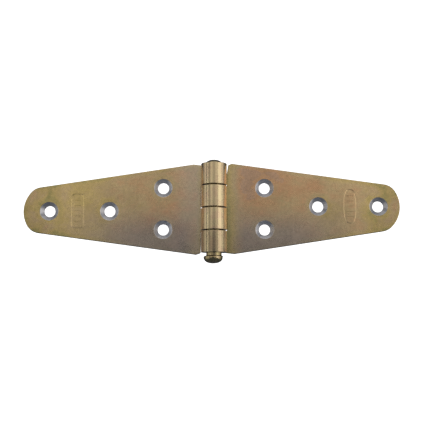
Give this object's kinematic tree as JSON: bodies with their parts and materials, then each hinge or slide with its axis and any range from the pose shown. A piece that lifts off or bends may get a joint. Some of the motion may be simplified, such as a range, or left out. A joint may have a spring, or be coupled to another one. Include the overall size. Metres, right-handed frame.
{
  "type": "strap hinge",
  "caption": "Open steel strap hinge: two tapered leaves with rolled knuckles and countersunk screw holes turn on one headed pin.",
  "frame": {"origin": "under the middle of the whole open hinge, in the plane of the leaves' back faces", "axes": "+X along the straps, towards the right leaf's tip; +Y along the pin, towards its peened end; +Z from the back faces to the countersunk fronts and the barrel"},
  "size_m": [0.1502, 0.041, 0.0102],
  "materials": {
    "leaf_plate": "satin yellow-passivated zinc plate with a pink, olive and gold interference tint",
    "pin_steel": "yellow-passivated zinc plate, brighter on the upset head, dull grey on the peened end"
  },
  "bodies": {
    "fixed_leaf": {"left_leaf": "leaf_plate", "hinge_pin": "pin_steel"},
    "swinging_leaf": {"right_leaf": "leaf_plate"}
  },
  "joints": [
    {"name": "leaf_swing", "type": "hinge", "parent": "fixed_leaf", "child": "swinging_leaf", "pos_m": [0.00085, 0.00134, 0.0051], "axis": [0, -1, 0], "range_deg": [-90, 184]}
  ]
}
